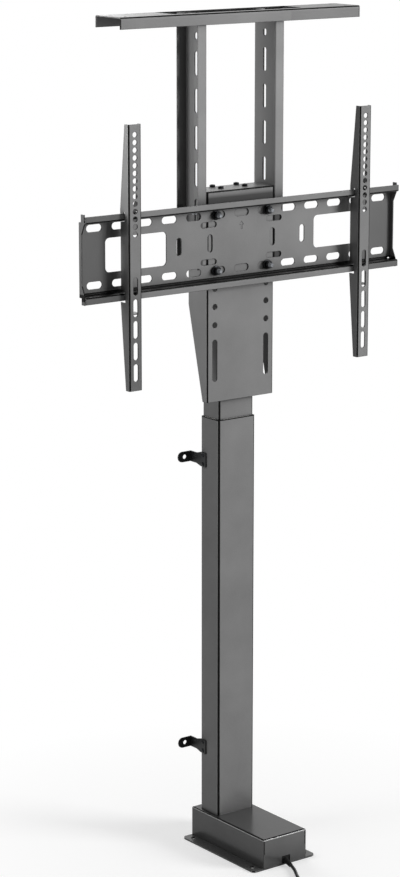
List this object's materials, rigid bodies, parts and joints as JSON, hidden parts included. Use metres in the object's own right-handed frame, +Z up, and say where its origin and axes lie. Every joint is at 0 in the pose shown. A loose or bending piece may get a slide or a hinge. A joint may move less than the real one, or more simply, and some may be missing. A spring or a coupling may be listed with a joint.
{
  "type": "tv lift mechanism",
  "caption": "Motorised three-stage lift column with a base box, a slotted rail plate, two hooked screen arms and a raised lid bracket.",
  "frame": {"origin": "middle of the whole width and depth, on the floor plane", "axes": "+Z up, the screen side faces -Y, the wall is at +Y, +X is to the right seen from the screen side"},
  "size_m": [0.679, 0.5265, 1.4975],
  "materials": {
    "frame_paint": "satin dark grey powder coat",
    "tube_paint": "satin dark grey powder coat",
    "cover_paint": "satin dark grey powder coat",
    "black_paint": "black zinc and paint",
    "black_steel": "blackened steel",
    "zinc_steel": "zinc plated steel",
    "ground_steel": "rolled screw steel",
    "cast_alloy": "die cast aluminium",
    "nut_brass": "machined bronze",
    "pad_plastic": "white sliding plastic",
    "board_green": "printed circuit board",
    "black_plastic": "moulded black plastic",
    "cord_black": "flexible black cord sheath"
  },
  "bodies": {
    "base": {"base_plate": "cover_paint", "base_cover": "cover_paint", "outer_tube": "tube_paint", "column_foot": "zinc_steel", "gearbox_housing": "cast_alloy", "gearbox_screws": "black_steel", "motor_can": "zinc_steel", "motor_cap": "black_plastic", "control_board": "board_green", "lower_bearing": "ground_steel", "upper_bush": "nut_brass", "outer_pads": "pad_plastic", "wall_tabs": "black_paint", "tab_rivets": "black_steel", "cord_bush": "black_plastic", "cord_run": "cord_black", "cord_coil": "cord_black", "cord_tail": "cord_black", "plug_body": "black_plastic", "plug_blades": "nut_brass"},
    "motor_rotor": {"motor_shaft": "ground_steel", "worm": "ground_steel"},
    "lift_screw": {"base_screw": "ground_steel", "worm_wheel": "nut_brass"},
    "middle_stage": {"middle_tube": "tube_paint", "middle_nut": "nut_brass", "screw_block": "pad_plastic", "middle_low_pads": "pad_plastic", "middle_top_pads": "pad_plastic"},
    "upper_screw": {"hollow_screw": "ground_steel"},
    "inner_stage": {"inner_tube": "tube_paint", "inner_nut": "nut_brass", "inner_pads": "pad_plastic", "inner_end_block": "cast_alloy", "carriage": "frame_paint", "carriage_screws": "black_steel", "rail_plate": "frame_paint", "rail_bolts": "black_steel", "rail_washers": "black_steel", "rail_nuts": "black_steel", "upright_screws": "black_steel", "upright_nuts": "zinc_steel"},
    "lid_frame": {"upright_left": "frame_paint", "upright_right": "frame_paint", "lid_bracket": "frame_paint"},
    "screen_arm_left": {"arm_left": "frame_paint", "arm_left_lock": "black_steel"},
    "screen_arm_right": {"arm_right": "frame_paint", "arm_right_lock": "black_steel"}
  },
  "joints": [
    {"name": "lift_middle", "type": "slide", "parent": "base", "child": "middle_stage", "axis": [0, 0, 1], "range_m": [-0.2, 0.15]},
    {"name": "lift_inner", "type": "slide", "parent": "middle_stage", "child": "inner_stage", "axis": [0, 0, 1], "range_m": [-0.2005, 0.1505]},
    {"name": "lift_screw_spin", "type": "hinge", "parent": "base", "child": "lift_screw", "pos_m": [0, 0.0565, 0.3], "axis": [0, 0, 1], "range_deg": [-5405, 7205]},
    {"name": "upper_screw_spin", "type": "hinge", "parent": "middle_stage", "child": "upper_screw", "pos_m": [0, 0.0565, 0.5], "axis": [0, 0, 1], "range_deg": [-5405, 7205]},
    {"name": "motor_spin", "type": "hinge", "parent": "base", "child": "motor_rotor", "pos_m": [0.021, 0.0565, 0.023], "axis": [0, 1, 0], "range_deg": [-81005, 108005]},
    {"name": "lid_height", "type": "slide", "parent": "inner_stage", "child": "lid_frame", "axis": [0, 0, 1], "range_m": [-0.016, 0.016]},
    {"name": "arm_left_slide", "type": "slide", "parent": "inner_stage", "child": "screen_arm_left", "axis": [1, 0, 0], "range_m": [-0.051, 0.149]},
    {"name": "arm_right_slide", "type": "slide", "parent": "inner_stage", "child": "screen_arm_right", "axis": [1, 0, 0], "range_m": [-0.149, 0.051]}
  ],
  "couplings": [
    {"joint": "lift_inner", "follows": "lift_middle", "ratio": 1},
    {"joint": "lift_screw_spin", "follows": "lift_middle", "rad_per_m": -628.32},
    {"joint": "upper_screw_spin", "follows": "lift_middle", "rad_per_m": -628.32},
    {"joint": "motor_spin", "follows": "lift_middle", "rad_per_m": -9424.8}
  ]
}
